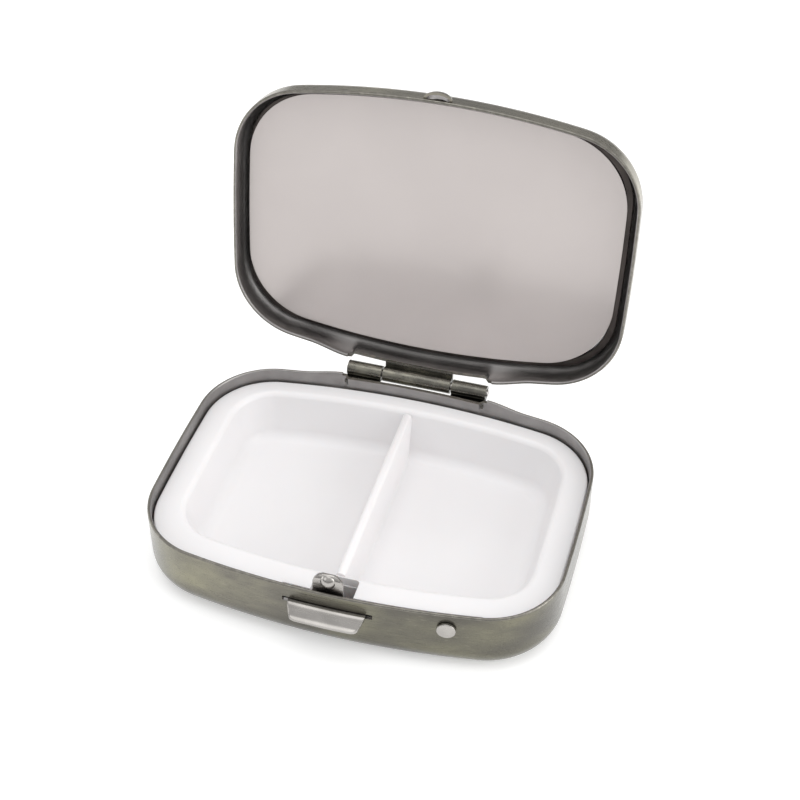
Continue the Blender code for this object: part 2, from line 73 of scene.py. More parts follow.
LID_RIM_Z = 10.15 * MM
LID_HEIGHT = 4.5 * MM
LID_EDGE_RADIUS = 2.6 * MM
LID_OPEN = math.radians(100)

POCKET_FOOT = 0.45 * MM
POCKET_HALF_WIDTH = 1.9 * MM
POCKET_RISE = 1.7 * MM
POCKET_SWELL = 1.0 * MM
POCKET_SKIN = 0.35 * MM

BEZEL_DEPTH = 2.85 * MM
FILM_DEPTH = 2.7 * MM
FILM_THICKNESS = 0.1 * MM
FILM_HALF_WIDTH = 25.8 * MM
FILM_HALF_DEPTH = 18.15 * MM
FILM_CORNER_RADIUS = 10.1 * MM
FILM_SHIFT = (-0.3 * MM, -0.2 * MM)
MIRROR_DEPTH = 3.25 * MM
MIRROR_THICKNESS = 0.4 * MM
MIRROR_INSET = 1.98 * MM
PAD_DEPTH = 3.7 * MM
PAD_THICKNESS = 0.28 * MM
PAD_INSET = 3.4 * MM

TRAY_TOP = 8.0 * MM
TRAY_EDGE = 0.65 * MM
FLANGE_THICKNESS = 0.9 * MM
MOUTH_START = 3.5 * MM
MOUTH_ROUND = 0.9 * MM
MOUTH_SHIFT = 1.1 * MM
TRAY_WALL_FOOT = 5.5 * MM
FOOT_SHIFT = 0.55 * MM
FLOOR_FILLET = 1.8 * MM
TRAY_FLOOR = 1.5 * MM
TRAY_UNDERSIDE = 0.72 * MM
TRAY_WALL = 0.85 * MM
DIVIDER_TOP = 7.7 * MM
DIVIDER_HALF = 0.6 * MM
DIVIDER_HALF_FOOT = 0.8 * MM
NOTCH_HALF = 2.8 * MM
NOTCH_REAR = -14.9 * MM

STRIP_GAP = 0.26 * MM
STRIP_SHEET = 0.35 * MM
STRIP_LEFT = -5.2 * MM
STRIP_RIGHT = 17.0 * MM
STRIP_LOW = 6.3 * MM
STRIP_HIGH = 8.7 * MM
TONGUE_HALF = 1.95 * MM
TONGUE_BEND = 11.7 * MM
TONGUE_TOP = 12.3 * MM
TONGUE_LEAN = 0.35 * MM
NUB_Z = 11.35 * MM
NUB_RADIUS = 0.95 * MM
NUB_HEIGHT = 0.51 * MM
SLOT_HALF = 5.8 * MM
SLOT_LOW = 7.05 * MM
SLOT_HIGH = 7.85 * MM
TAB_HALF = 4.95 * MM
TAB_TIP_HALF = 3.6 * MM
TAB_Z = 7.45 * MM
TAB_THICKNESS = 0.4 * MM
TAB_REACH = 2.15 * MM
TAB_DROP = 1.05 * MM

RIVET_X = 14.9 * MM
RIVET_Z = 7.5 * MM
RIVET_HEAD = 1.2 * MM
RIVET_HEAD_THICKNESS = 0.4 * MM
RIVET_SHANK = 0.6 * MM
RIVET_TAIL = 0.95 * MM
RIVET_TAIL_THICKNESS = 0.35 * MM
RIVET_CLEARANCE = 0.15 * MM

# Steps around a quarter of the outline.
SHORT_STEPS = 8
CORNER_STEPS = 22
LONG_STEPS = 44

# Camera of the main view.
AZIMUTH = 15.86
ELEVATION = 42.19
ROLL = 0.31
DISTANCE = 210.4 * MM
AIM = (0.23 * MM, 11.73 * MM, 14.46 * MM)
LENS = 70.85

# ---------------------------------------------------------------- materials


class Shader:
    """A material's node tree with a Principled shader, and short ways to add to it."""

    def __init__(self, name, colour, roughness, metallic=0.0):
        self.material = bpy.data.materials.new(name)
        self.material.use_nodes = True
        self.tree = self.material.node_tree
        self.shader = self.tree.nodes["Principled BSDF"]
        self.set("Base Color", (*colour, 1))
        self.set("Roughness", roughness)
        self.set("Metallic", metallic)
        self.place = self.tree.nodes.new("ShaderNodeTexCoord").outputs["Object"]

    def set(self, name, value):
        self.shader.inputs[name].default_value = value

    def feed(self, name, output):
        self.tree.links.new(output, self.shader.inputs[name])

    def stretched(self, scale):
        mapping = self.tree.nodes.new("ShaderNodeMapping")
        mapping.inputs["Scale"].default_value = scale
        self.tree.links.new(self.place, mapping.inputs["Vector"])
        return mapping.outputs["Vector"]

    def noise(self, scale, detail=3.0, roughness=0.5, stretch=(1, 1, 1), distortion=0.0):
        """Noise whose cell size is about 1/scale metres."""
        made = self.tree.nodes.new("ShaderNodeTexNoise")
        made.inputs["Scale"].default_value = scale
        made.inputs["Detail"].default_value = detail
        made.inputs["Roughness"].default_value = roughness
        made.inputs["Distortion"].default_value = distortion
        self.tree.links.new(self.stretched(stretch), made.inputs["Vector"])
        return made.outputs["Fac"]

    def ramp(self, source, *stops):
        """Colour ramp: stops are (position, colour) with a colour as three numbers or one grey."""
        made = self.tree.nodes.new("ShaderNodeValToRGB")
        elements = made.color_ramp.elements
        while len(elements) < len(stops):
            elements.new(0.5)
        for element, (position, colour) in zip(elements, stops):
            colour = colour if isinstance(colour, tuple) else (colour, colour, colour)
            element.position = position
            element.color = (*colour, 1)
        self.tree.links.new(source, made.inputs["Fac"])
        return made.outputs["Color"]

    def range(self, source, low, high, new_low, new_high):
        made = self.tree.nodes.new("ShaderNodeMapRange")
        limits = {"From Min": low, "From Max": high, "To Min": new_low, "To Max": new_high}
        for name, value in limits.items():
            made.inputs[name].default_value = value
        self.tree.links.new(source, made.inputs["Value"])
        return made.outputs["Result"]

    def mix(self, factor, first, second, blend="MIX"):
        """Mix two colours; factor, first and second are outputs or plain values."""
        made = self.tree.nodes.new("ShaderNodeMix")
        made.data_type = "RGBA"
        made.blend_type = blend
        for index, value in ((0, factor), (6, first), (7, second)):
            if isinstance(value, bpy.types.NodeSocket):
                self.tree.links.new(value, made.inputs[index])
            elif index == 0:
                made.inputs[0].default_value = value
            else:
                made.inputs[index].default_value = (*value, 1)
        return made.outputs[2]

    def math(self, operation, first, second):
        made = self.tree.nodes.new("ShaderNodeMath")
        made.operation = operation
        for index, value in enumerate((first, second)):
            if isinstance(value, bpy.types.NodeSocket):
                self.tree.links.new(value, made.inputs[index])
            else:
                made.inputs[index].default_value = value
        return made.outputs["Value"]

    def position(self, axis):
        """Distance along an axis of the object, in metres."""
        split = self.tree.nodes.new("ShaderNodeSeparateXYZ")
        self.tree.links.new(self.place, split.inputs["Vector"])
        return split.outputs[axis]

    def facing(self, axis):
        """How far the surface faces along an axis of the object, 0 to 1, either way."""
        geometry = self.tree.nodes.new("ShaderNodeNewGeometry")
        split = self.tree.nodes.new("ShaderNodeSeparateXYZ")
        self.tree.links.new(geometry.outputs["Normal"], split.inputs["Vector"])
        return self.math("ABSOLUTE", split.outputs[axis], 0)

    def bump(self, source, strength, depth):
        """Relief of at most depth metres from a 0 to 1 height."""
        made = self.tree.nodes.new("ShaderNodeBump")
        made.inputs["Strength"].default_value = strength
        made.inputs["Distance"].default_value = depth
        self.tree.links.new(source, made.inputs["Height"])
        self.feed("Normal", made.outputs["Normal"])


def brushed(shader, fine=5200, along=60):
    """Brush marks that run along the long sides, and along Y on the short sides."""
    lengthwise = shader.noise(1, 3, 0.6, (along, fine, fine))
    crosswise = shader.noise(1, 3, 0.6, (fine, along, fine))
    turn = shader.range(shader.facing("X"), 0.55, 0.8, 0, 1)
    return shader.mix(turn, lengthwise, crosswise)


def patinated_brass(name, dark, middle, warm, clean, tint, right=1.0):
    """Brushed brass under a patina that varies over a few millimetres, clear lacquer over it.

    right is the brightness of the right half against the left: painted shade on the right half.
    """
    shader = Shader(name, middle, 0.3, 1.0)
    strokes = brushed(shader)
    clouds = shader.noise(75, 3, 0.5, (1, 1, 2.0), 0.3)
    patina = shader.ramp(clouds, (0.34, dark), (0.5, middle), (0.6, warm), (0.7, clean))
    shade = shader.ramp(strokes, (0.3, 0.84), (0.5, 0.98), (0.72, 1.1))
    # Painted shade: the colour darkens from x = -8 mm to x = 6 mm and stays as dark over the rest of the
    # right half.
    painted_shade_right_half = shader.range(shader.position("X"), -8 * MM, 6 * MM, 1.0, right)
    scratches = shader.noise(1, 1, 0.4, (40, 7000, 7000))
    bright = shader.ramp(scratches, (0.70, 0.0), (0.76, 1.0))
    colour = shader.mix(1.0, shader.mix(1.0, patina, shade, "MULTIPLY"), painted_shade_right_half, "MULTIPLY")
    shader.feed("Base Color", shader.mix(shader.math("MULTIPLY", bright, 0.18), colour, tint))
    shader.feed("Roughness", shader.range(strokes, 0.25, 0.75, 0.22, 0.36))
    shader.set("Coat Weight", 0.3)
    shader.set("Coat Roughness", 0.1)
    shader.bump(strokes, 0.25, 0.000015)
    return shader.material


def rim_brass():
    """The sheet's cut edge: fine patina, slightly rubbed."""
    shader = Shader("rim_brass", (0.3, 0.285, 0.24), 0.26, 1.0)
    wear = shader.noise(1500, 3, 0.6)
    shader.feed("Base Color", shader.ramp(wear, (0.35, (0.17, 0.161, 0.142)), (0.52, (0.2, 0.19, 0.168)),
                                          (0.68, (0.25, 0.239, 0.21))))
    shader.feed("Roughness", shader.range(wear, 0.3, 0.7, 0.4, 0.26))
    shader.bump(wear, 0.1, 0.00001)
    return shader.material


def hinge_bronze():
    """Darkened knuckles with a rubbed olive-brown sheen."""
    shader = Shader("hinge_bronze", (0.16, 0.15, 0.12), 0.24, 1.0)
    rub = shader.noise(500, 4, 0.65, (0.4, 1, 1))
    shader.feed("Base Color", shader.ramp(rub, (0.35, (0.075, 0.072, 0.065)), (0.55, (0.15, 0.144, 0.126)),
                                          (0.7, (0.28, 0.268, 0.22))))
    shader.feed("Roughness", shader.range(rub, 0.3, 0.7, 0.18, 0.32))
    shader.bump(rub, 0.25, 0.00002)
    return shader.material


def dark_plate():
    """Grey-brown plating on the shells' inner faces."""
    shader = Shader("dark_plate", (0.26, 0.25, 0.245), 0.36, 1.0)
    clouds = shader.noise(140, 4, 0.6)
    grain = shader.noise(1, 2, 0.6, (120, 2600, 2600))
    shader.feed("Base Color", shader.ramp(clouds, (0.35, (0.29, 0.279, 0.274)),
                                          (0.65, (0.38, 0.367, 0.36))))
    shader.feed("Roughness", shader.range(grain, 0.3, 0.7, 0.32, 0.46))
    shader.bump(grain, 0.2, 0.00002)
    return shader.material


def white_plastic():
    """Moulded white plastic with a soft gloss and a very fine grain."""
    shader = Shader("white_plastic", (0.78, 0.765, 0.768), 0.38)
    cloud = shader.noise(60, 2)
    grain = shader.noise(5200, 2)
    shader.feed("Base Color", shader.ramp(cloud, (0.3, (0.805, 0.79, 0.795)), (0.7, (0.835, 0.82, 0.825))))
    shader.feed("Roughness", shader.range(grain, 0.3, 0.7, 0.34, 0.46))
    shader.set("Subsurface Weight", 0.2)
    shader.set("Subsurface Radius", (0.0012, 0.0010, 0.0009))
    shader.set("Subsurface Scale", 1.0)
    shader.bump(grain, 0.12, 0.00001)
    return shader.material


def nickel_steel():
    """Nickel-plated spring steel with faint drawing marks."""
    shader = Shader("nickel_steel", (0.55, 0.53, 0.51), 0.24, 1.0)
    marks = shader.noise(1, 3, 0.6, (90, 2400, 2400))
    stain = shader.noise(350, 2, 0.5)
    shader.feed("Base Color", shader.ramp(stain, (0.3, (0.33, 0.315, 0.298)), (0.65, (0.41, 0.393, 0.373))))
    shader.feed("Roughness", shader.range(marks, 0.3, 0.7, 0.18, 0.32))
    shader.bump(marks, 0.25, 0.00002)
    return shader.material


def dark_bezel():
    """Dark brown-black plated ring."""
    shader = Shader("dark_bezel", (0.05, 0.043, 0.04), 0.34, 1.0)
    stain = shader.noise(260, 3, 0.6)
    shader.feed("Base Color", shader.ramp(stain, (0.3, (0.038, 0.033, 0.031)), (0.7, (0.075, 0.065, 0.06))))
    shader.feed("Roughness", shader.range(stain, 0.3, 0.7, 0.26, 0.42))
    shader.bump(stain, 0.2, 0.00003)
    return shader.material


def mirror_glass():
    shader = Shader("mirror_glass", (0.75, 0.75, 0.76), 0.05, 1.0)
    smear = shader.noise(180, 2)
    shader.feed("Roughness", shader.range(smear, 0.3, 0.7, 0.03, 0.08))
    return shader.material


def matte_film():
    """Satin protective film, a little wavy where it doesn't cling."""
    shader = Shader("matte_film", (0.52, 0.48, 0.465), 0.2, 0.35)
    cloud = shader.noise(48, 3, 0.5)
    grain = shader.noise(3800, 2)
    waves = shader.noise(70, 2, 0.5, (1, 1, 1), 0.8)
    shader.feed("Base Color", shader.ramp(cloud, (0.3, (0.505, 0.465, 0.451)), (0.7, (0.54, 0.497, 0.482))))
    shader.feed("Roughness", shader.range(grain, 0.3, 0.7, 0.16, 0.26))
    shader.bump(waves, 0.2, 0.0003)
    return shader.material


def grey_card():
    shader = Shader("grey_card", (0.32, 0.31, 0.3), 0.9)
    fibre = shader.noise(2600, 3, 0.7)
    shader.feed("Base Color", shader.ramp(fibre, (0.3, (0.26, 0.25, 0.24)), (0.7, (0.38, 0.37, 0.36))))
    shader.bump(fibre, 0.4, 0.00004)
    return shader.material


# The base's brass passes 0.72 for right, so its right half carries painted shade.
BRASS = patinated_brass("antique_brass", (0.105, 0.099, 0.085), (0.155, 0.146, 0.12),
                        (0.2, 0.19, 0.145), (0.25, 0.238, 0.17), (0.45, 0.43, 0.34), 0.72)
# The lid's brass is the base's brass painted lighter throughout: painted light on the lid.
LID_BRASS = patinated_brass("lid_brass", (0.22, 0.204, 0.17), (0.28, 0.26, 0.213),
                            (0.34, 0.318, 0.25), (0.4, 0.376, 0.29), (0.6, 0.57, 0.46))
RIM = rim_brass()
BRONZE = hinge_bronze()
DARK = dark_plate()
WHITE = white_plastic()
STEEL = nickel_steel()
BEZEL = dark_bezel()
MIRROR = mirror_glass()
FILM = matte_film()
CARD = grey_card()

# ---------------------------------------------------------------- mesh helpers


def add_object(name, bm, *materials, smooth_angle=35):
    """Turn a bmesh into a linked object, faces outwards and smooth where the form is round."""
    bmesh.ops.recalc_face_normals(bm, faces=bm.faces)
    mesh = bpy.data.meshes.new(name)
    bm.to_mesh(mesh)
    bm.free()
    for material in materials:
        mesh.materials.append(material)
    mesh.shade_smooth()
    mesh.set_sharp_from_angle(angle=math.radians(smooth_angle))
    thing = bpy.data.objects.new(name, mesh)
    bpy.context.scene.collection.objects.link(thing)
    return thing


def boolean(target, tool, operation):
    """Cut or join with the exact solver, for good, and drop the tool."""
    for material in tool.data.materials:
        if material.name not in target.data.materials:
            target.data.materials.append(material)
    modifier = target.modifiers.new(tool.name, "BOOLEAN")
    modifier.operation = operation
    modifier.solver = "EXACT"
    modifier.material_mode = "TRANSFER"
    modifier.object = tool
    settle(target)
    bpy.data.objects.remove(tool, do_unlink=True)


def settle(thing):
    """Replace a mesh by what its modifiers make of it."""
    depsgraph = bpy.context.evaluated_depsgraph_get()
    depsgraph.update()
    made = bpy.data.meshes.new_from_object(thing.evaluated_get(depsgraph))
    thing.modifiers.clear()
    thing.data = made


def resharpen(thing, smooth_angle=35):
    thing.data.shade_smooth()
    thing.data.set_sharp_from_angle(angle=math.radians(smooth_angle))


def soften_edges(thing, width, segments=2, angle=40):
    """Round the hard edges by a hair, so that they catch the light."""
    bevel = thing.modifiers.new("soft_edges", "BEVEL")
    bevel.width = width
    bevel.segments = segments
    bevel.limit_method = "ANGLE"
    bevel.angle_limit = math.radians(angle)
    settle(thing)
    resharpen(thing)


def loft(rings, slots=None, closed=False):
    """Skin over rings with the same number of points, capped at both ends unless it closes on itself.

    slots gives the material index of the band that starts at each ring.
    """
    bm = bmesh.new()
    loops = [[bm.verts.new(point) for point in ring] for ring in rings]
    count = len(loops[0])
    following = loops[1:] + loops[:1] if closed else loops[1:]
    for band, (lower, upper) in enumerate(zip(loops, following)):
        for index in range(count):
            after = (index + 1) % count
            face = bm.faces.new((lower[index], lower[after], upper[after], upper[index]))
            face.material_index = slots[band] if slots else 0
    if not closed:
        bm.faces.new(loops[0]).material_index = slots[0] if slots else 0
        bm.faces.new(reversed(loops[-1])).material_index = slots[-1] if slots else 0
    return bm


def lathe(name, profile, steps, place):
    """Steel solid turned from a (radius, height) profile that starts and ends on its axis."""
    bm = bmesh.new()
    points = [bm.verts.new((radius, 0, height)) for radius, height in profile]
    edges = [bm.edges.new(pair) for pair in zip(points, points[1:])]
    bmesh.ops.spin(bm, geom=points + edges, cent=(0, 0, 0), axis=(0, 0, 1),
                   angle=2 * math.pi, steps=steps)
    bmesh.ops.remove_doubles(bm, verts=bm.verts, dist=1e-7)
    bm.transform(place)
    return add_object(name, bm, STEEL)


def arc(first, last, steps):
    """Angles in radians from first to last, in degrees."""
    return [math.radians(first + (last - first) * step / steps) for step in range(steps + 1)]


def smooth_step(value):
    value = min(max(value, 0), 1)
    return value * value * (3 - 2 * value)


# ---------------------------------------------------------------- outline


def quarter_stations(half_width, half_depth, corner_radius):
    """(centre, radius, angle) for each point from the right end of the X axis to the Y axis."""
    long_centre = Vector((0, half_depth - LONG_SIDE_RADIUS))
    short_centre = Vector((half_width - SHORT_SIDE_RADIUS, 0))
    meeting = intersect_sphere_sphere_2d(
        long_centre, LONG_SIDE_RADIUS - corner_radius,
        short_centre, SHORT_SIDE_RADIUS - corner_radius)
    corner = max(meeting, key=lambda point: point.x + point.y)
    short_angle = math.atan2(corner.y - short_centre.y, corner.x - short_centre.x)
    long_angle = math.atan2(corner.y - long_centre.y, corner.x - long_centre.x)
    stations = []
    for step in range(SHORT_STEPS):
        stations.append((short_centre, SHORT_SIDE_RADIUS, short_angle * step / SHORT_STEPS))
    for step in range(CORNER_STEPS):
        turn = short_angle + (long_angle - short_angle) * step / CORNER_STEPS
        stations.append((corner, corner_radius, turn))
    for step in range(LONG_STEPS + 1):
        turn = long_angle + (math.pi / 2 - long_angle) * step / LONG_STEPS
        stations.append((long_centre, LONG_SIDE_RADIUS, turn))
    return stations


STATIONS = quarter_stations(HALF_WIDTH, HALF_DEPTH, CORNER_RADIUS)
FILM_STATIONS = quarter_stations(FILM_HALF_WIDTH, FILM_HALF_DEPTH, FILM_CORNER_RADIUS)


def outline(inset, stations=STATIONS):
    """Plan outline moved inwards by inset, counter-clockwise from the right end of the X axis."""
    quarter = [
        (centre.x + (radius - inset) * math.cos(turn), centre.y + (radius - inset) * math.sin(turn))
        for centre, radius, turn in stations]
    upper = quarter + [(-x, y) for x, y in reversed(quarter[:-1])]
    return upper + [(-x, -y) for x, y in upper[1:-1]]


def level_ring(inset, z, stations=STATIONS, shift=(0, 0)):
    return [(x + shift[0], y + shift[1], z) for x, y in outline(inset, stations)]


def front_wall_y(x, inset=0):
    """Y of the front wall's face, inset from the outside, at a given x."""
    radius = LONG_SIDE_RADIUS - inset
    return LONG_SIDE_RADIUS - HALF_DEPTH - math.sqrt(radius * radius - x * x)


def ear(x, y, below_rim):
    """Outward swell of a rear wall beside the hinge, at a distance from the rim."""
    if y < 0:
        return 0
    along = smooth_step((EAR_END - abs(x)) / (EAR_END - RELIEF_HALF))
    inner_end = smooth_step((abs(x) - 0.9 * RELIEF_HALF) / (0.06 * RELIEF_HALF))
    return EAR_SWELL * along * inner_end * smooth_step(1 - below_rim / EAR_HEIGHT)


def box(name, low, high, *materials):
    """Box between two corners."""
    bm = bmesh.new()
    size = [high[axis] - low[axis] for axis in range(3)]
    centre = [(high[axis] + low[axis]) / 2 for axis in range(3)]
    bmesh.ops.create_cube(bm, size=1, matrix=Matrix.Translation(centre) @ Matrix.Diagonal((*size, 1)))
    return add_object(name, bm, *materials)


def rounded_bar(name, half, low, high, near, far, *materials):
    """Cutter along Y with rounded upright ends: half its length along X, low and high in Z."""
    radius = 0.25 * (high - low)
    plan = []
    for corner_x, corner_z, first in ((1, 1, 0), (-1, 1, 90), (-1, -1, 180), (1, -1, 270)):
        centre_z = (high + low) / 2 + corner_z * ((high - low) / 2 - radius)
        for turn in arc(first, first + 90, 5):
            plan.append((corner_x * (half - radius) + radius * math.cos(turn),
                         centre_z + radius * math.sin(turn)))
    rings = [[(x, y, z) for x, z in plan] for y in (near, far)]
    return add_object(name, loft(rings), *materials)


# ---------------------------------------------------------------- shells

OUTSIDE, EDGE, INSIDE = 0, 1, 2


def pan(name, height, edge_radius, floor_z, direction, brass):
    """Sheet-metal pan; direction is +1 when its open side is up and -1 when it is down."""
    rings, slots = [], []

    def add(inset, rise, side):
        swollen = [(x, y + ear(x, y, height - rise), floor_z + direction * rise) for x, y in outline(inset)]
        rings.append(swollen)
        slots.append(side)

    half_sheet = SHEET / 2
    levels = [EAR_HEIGHT * step / 12 for step in range(13)]
    wall = [height - level for level in reversed(levels) if height - level > edge_radius + 0.1 * MM]
    wall = [rise for rise in wall if rise < height - half_sheet]
    for turn in arc(90, 0, 12):
        add(edge_radius * (1 - math.cos(turn)), edge_radius * (1 - math.sin(turn)), OUTSIDE)
    for rise in wall:
        add(0, rise, OUTSIDE)
    for turn in arc(180, 0, 8):
        side = EDGE if math.cos(turn) < 0.3 else INSIDE
        add(half_sheet + half_sheet * math.cos(turn),
            height - half_sheet + half_sheet * math.sin(turn), side)
    slots[-1] = INSIDE
    for rise in reversed(wall):
        add(SHEET, rise, INSIDE)
    inner_radius = edge_radius - SHEET
    for turn in arc(0, 90, 12):
        add(SHEET + inner_radius * (1 - math.cos(turn)),
            SHEET + inner_radius * (1 - math.sin(turn)), INSIDE)
    return add_object(name, loft(rings, slots), brass, RIM, DARK)


def knuckle(name, left, right, first_turn, turn_span, strip_side, material):
    """Strip that leaves the rear wall and curls around the hinge axis."""
    steps = 48
    turns = [math.radians(first_turn + turn_span * step / steps) for step in range(steps + 1)]
    circle = [(math.cos(turn), math.sin(turn)) for turn in turns]
    outer = [(HINGE_Y + KNUCKLE_RADIUS * c, HINGE_Z + KNUCKLE_RADIUS * s) for c, s in circle]
    inner = [(HINGE_Y + KNUCKLE_BORE * c, HINGE_Z + KNUCKLE_BORE * s) for c, s in circle]
    rings = []
    for x in (left, right):
        wall_y = -front_wall_y(x, SHEET / 2)
        profile = [(wall_y, HINGE_Z + strip_side * KNUCKLE_RADIUS)] + outer
        profile += list(reversed(inner)) + [(wall_y, HINGE_Z + strip_side * KNUCKLE_BORE)]
        rings.append([(x, y, z) for y, z in profile])
    return add_object(name, loft(rings), material)


def rivet_frame():
    """Matrix whose Z axis leaves the front wall at the rivet, its origin on the wall's outer face."""
    lean = math.asin(RIVET_X / LONG_SIDE_RADIUS)
    place = Matrix.Translation((RIVET_X, front_wall_y(RIVET_X), RIVET_Z))
    return place @ Matrix.Rotation(lean, 4, "Z") @ Matrix.Rotation(math.pi / 2, 4, "X")


def rivet_cutter(name, radius, material):
    bm = bmesh.new()
    bmesh.ops.create_cone(bm, cap_ends=True, segments=48, radius1=radius, radius2=radius,
                          depth=4 * MM, matrix=rivet_frame())
    return add_object(name, bm, material)


def base_shell():
    shell = pan("base_shell_fine", BASE_HEIGHT, BASE_EDGE_RADIUS, 0, 1, BRASS)
    boolean(shell, box("relief", (-RELIEF_HALF, 0.8 * HALF_DEPTH, BASE_HEIGHT - RELIEF_DEPTH_BASE),
                       (RELIEF_HALF, BEYOND, BASE_HEIGHT + MM), RIM), "DIFFERENCE")
    slot = rounded_bar("slot", SLOT_HALF, SLOT_LOW, SLOT_HIGH, -BEYOND, -0.9 * HALF_DEPTH, DARK)
    boolean(shell, slot, "DIFFERENCE")
    boolean(shell, rivet_cutter("rivet_hole", RIVET_SHANK + RIVET_CLEARANCE, DARK), "DIFFERENCE")
    for side in (-1, 1):
        left, right = sorted((side * BASE_KNUCKLE_START, side * BASE_KNUCKLE_END))
        boolean(shell, knuckle("curl", left, right, -90, 335, -1, BRONZE), "UNION")
    resharpen(shell)
    return shell


def half_dome(name, half_width, swell, rise, reach, material):
    """Half-oval bulge on the lid's front wall with a flat underside.

    It swells outwards from the wall's outer face, and runs straight inwards by reach.
    """
    foot = LID_RIM_Z + POCKET_FOOT
    stations = [(swell * math.sin(turn), math.cos(turn)) for turn in arc(84, 8, 12)]
    rings = []
    for out, scale in stations + [(0, 1), (-reach, 1)]:
        rings.append([
            (half_width * scale * math.cos(turn), -HALF_DEPTH - out, foot + rise * scale * math.sin(turn))
            for turn in arc(0, 180, 40)])
    return add_object(name, loft(rings), material)


def lid_shell():
    shell = pan("lid_shell_fine", LID_HEIGHT, LID_EDGE_RADIUS, LID_RIM_Z + LID_HEIGHT, -1, LID_BRASS)
    boolean(shell, box("relief", (-RELIEF_HALF, 0.8 * HALF_DEPTH, LID_RIM_Z - MM),
                       (RELIEF_HALF, BEYOND, LID_RIM_Z + RELIEF_DEPTH_LID), RIM), "DIFFERENCE")
    boolean(shell, knuckle("curl", -LID_KNUCKLE_HALF, LID_KNUCKLE_HALF, 90, -335, 1, BRONZE), "UNION")
    pocket = half_dome("pocket", POCKET_HALF_WIDTH, POCKET_SWELL, POCKET_RISE, 0.6 * SHEET, LID_BRASS)
    boolean(shell, pocket, "UNION")
    hollow = half_dome("hollow", POCKET_HALF_WIDTH - POCKET_SKIN, POCKET_SWELL - POCKET_SKIN,
                       POCKET_RISE - 0.6 * POCKET_SKIN, 2 * SHEET, DARK)
    boolean(shell, hollow, "DIFFERENCE")
    resharpen(shell)
    return shell


# ---------------------------------------------------------------- tray


def tray_sections():
    """(inset, z, shift) from the middle of the underside, over the flange, to the middle of the floor."""
    outer_foot = TRAY_WALL_FOOT - TRAY_WALL
    outer_fillet = FLOOR_FILLET + TRAY_WALL
    flange_under = TRAY_TOP - FLANGE_THICKNESS
    edge = 0.25 * MM
    sections = []
    for turn in arc(0, 90, 10):
        sections.append((outer_foot + outer_fillet * (1 - math.sin(turn)),
                         TRAY_UNDERSIDE + outer_fillet * (1 - math.cos(turn)), FOOT_SHIFT))
    sections.append((MOUTH_START + 0.15 * MM, flange_under, MOUTH_SHIFT))
    sections.append((TRAY_EDGE, flange_under, 0))
    for turn in arc(0, 90, 5):
        sections.append((TRAY_EDGE + edge * (1 - math.cos(turn)),
                         TRAY_TOP - edge * (1 - math.sin(turn)), 0))
    for turn in arc(0, 90, 12):
        sections.append((MOUTH_START + MOUTH_ROUND * math.sin(turn),
                         TRAY_TOP - MOUTH_ROUND * (1 - math.cos(turn)), MOUTH_SHIFT))
    for turn in arc(0, 90, 14):
        sections.append((TRAY_WALL_FOOT + FLOOR_FILLET * (1 - math.cos(turn)),
                         TRAY_FLOOR + FLOOR_FILLET * (1 - math.sin(turn)), FOOT_SHIFT))
    return sections


def divider():
    """Drafted wall on the centre line with a rounded top and a filleted foot."""
    reach_top = HALF_DEPTH - MOUTH_START - 1.1 * MM
    reach_wall = HALF_DEPTH - MOUTH_START - 0.9 * MM
    reach_foot = HALF_DEPTH - TRAY_WALL_FOOT
    fillet = 0.6 * MM
    crown = DIVIDER_HALF - 0.1 * MM
    root = (TRAY_FLOOR + TRAY_UNDERSIDE) / 2
    profile = [(DIVIDER_HALF_FOOT + fillet, root, reach_foot - 0.95 * MM, FOOT_SHIFT)]
    for turn in arc(90, 0, 8):
        reach = reach_foot - 0.55 * MM * math.sin(turn)
        profile.append((DIVIDER_HALF_FOOT + fillet * (1 - math.cos(turn)) * 0.98,
                        TRAY_FLOOR - 0.01 * MM + fillet * (1 - math.sin(turn)), reach, FOOT_SHIFT))
    profile.append((DIVIDER_HALF + 0.04 * MM, DIVIDER_TOP - 1.1 * MM, reach_wall, 0.94 * MOUTH_SHIFT))
    for turn in arc(0, 80, 6):
        profile.append((DIVIDER_HALF - crown * (1 - math.cos(turn)),
                        DIVIDER_TOP - crown * (1 - math.sin(turn)), reach_top, MOUTH_SHIFT))
    rings = []
    for half, z, reach, shift in profile:
        front, rear = shift - reach, shift + reach
        rings.append([(half, front, z), (half, rear, z), (-half, rear, z), (-half, front, z)])
    return add_object("divider", loft(rings), WHITE)


def front_relief():
    """Cutter that opens the flange in front for the latch strip, following the front wall."""
    inset = 2.0 * MM
    left, right = -6.4 * MM, 18.8 * MM
    stations = [left + (right - left) * step / 48 for step in range(49)]
    plan = [(x, front_wall_y(x, inset)) for x in stations] + [(x, -BEYOND) for x in (right, left)]
    low = TRAY_TOP - 1.5 * FLANGE_THICKNESS
    rings = [[(x, y, z) for x, y in plan] for z in (low, TRAY_TOP + MM)]
    return add_object("front_relief", loft(rings), WHITE)


def notch():
    """Cutter with rounded rear corners that clears the latch's tongue."""
    radius = 0.5 * MM
    plan = [(-NOTCH_HALF, -BEYOND), (NOTCH_HALF, -BEYOND)]
    for side, first, last in ((1, 0, 90), (-1, 90, 180)):
        for turn in arc(first, last, 6):
            plan.append((side * (NOTCH_HALF - radius) + radius * math.cos(turn),
                         NOTCH_REAR - radius + radius * math.sin(turn)))
    low = TRAY_TOP - 1.6 * FLANGE_THICKNESS
    rings = [[(x, y, z) for x, y in plan] for z in (low, TRAY_TOP + MM)]
    return add_object("notch", loft(rings), WHITE)


def pill_tray():
    rings = [level_ring(inset, z, shift=(0, shift)) for inset, z, shift in tray_sections()]
    tray = add_object("pill_tray_fine", loft(rings), WHITE)
    boolean(tray, divider(), "UNION")
    boolean(tray, front_relief(), "DIFFERENCE")
    boolean(tray, notch(), "DIFFERENCE")
    soften_edges(tray, 0.09 * MM, 3, 50)
    return tray


# ---------------------------------------------------------------- latch and rivet


